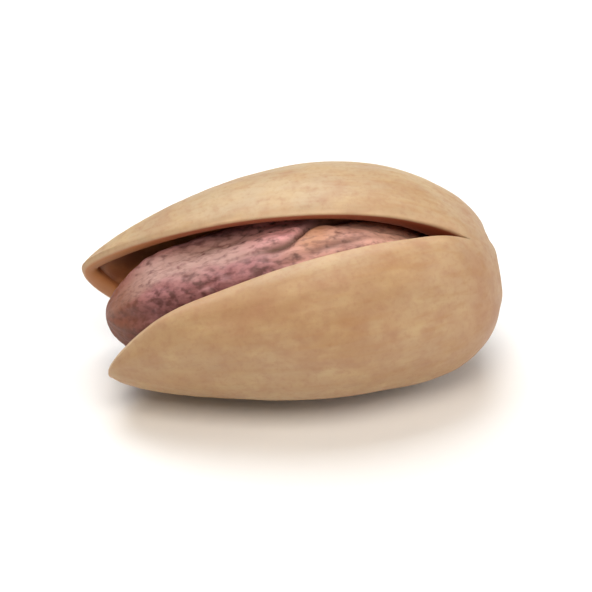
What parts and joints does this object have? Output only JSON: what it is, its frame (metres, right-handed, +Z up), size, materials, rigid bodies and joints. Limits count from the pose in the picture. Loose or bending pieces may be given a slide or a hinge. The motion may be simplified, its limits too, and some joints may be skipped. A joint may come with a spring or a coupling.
{
  "type": "pistachio in shell",
  "caption": "Pistachio in its split shell, lying on its back with the gape up and to the front, a wrinkled purple-skinned kernel inside.",
  "frame": {"origin": "on the surface the nut lies on, under the middle of its outer box", "axes": "+Z up, the nut's tip towards -X and its stem end towards +X, the wide split up and towards -Y"},
  "size_m": [0.022, 0.0126, 0.0113],
  "materials": {
    "shell": "matte beige nutshell with faint ochre and pinkish-brown blotches, fine lengthwise lines and paler lips",
    "kernel_skin": "dry, wrinkled purple-brown papery skin with a pale bloom and a tan crease"
  },
  "bodies": {
    "root": {"shell": "shell", "kernel": "kernel_skin"}
  },
  "joints": []
}
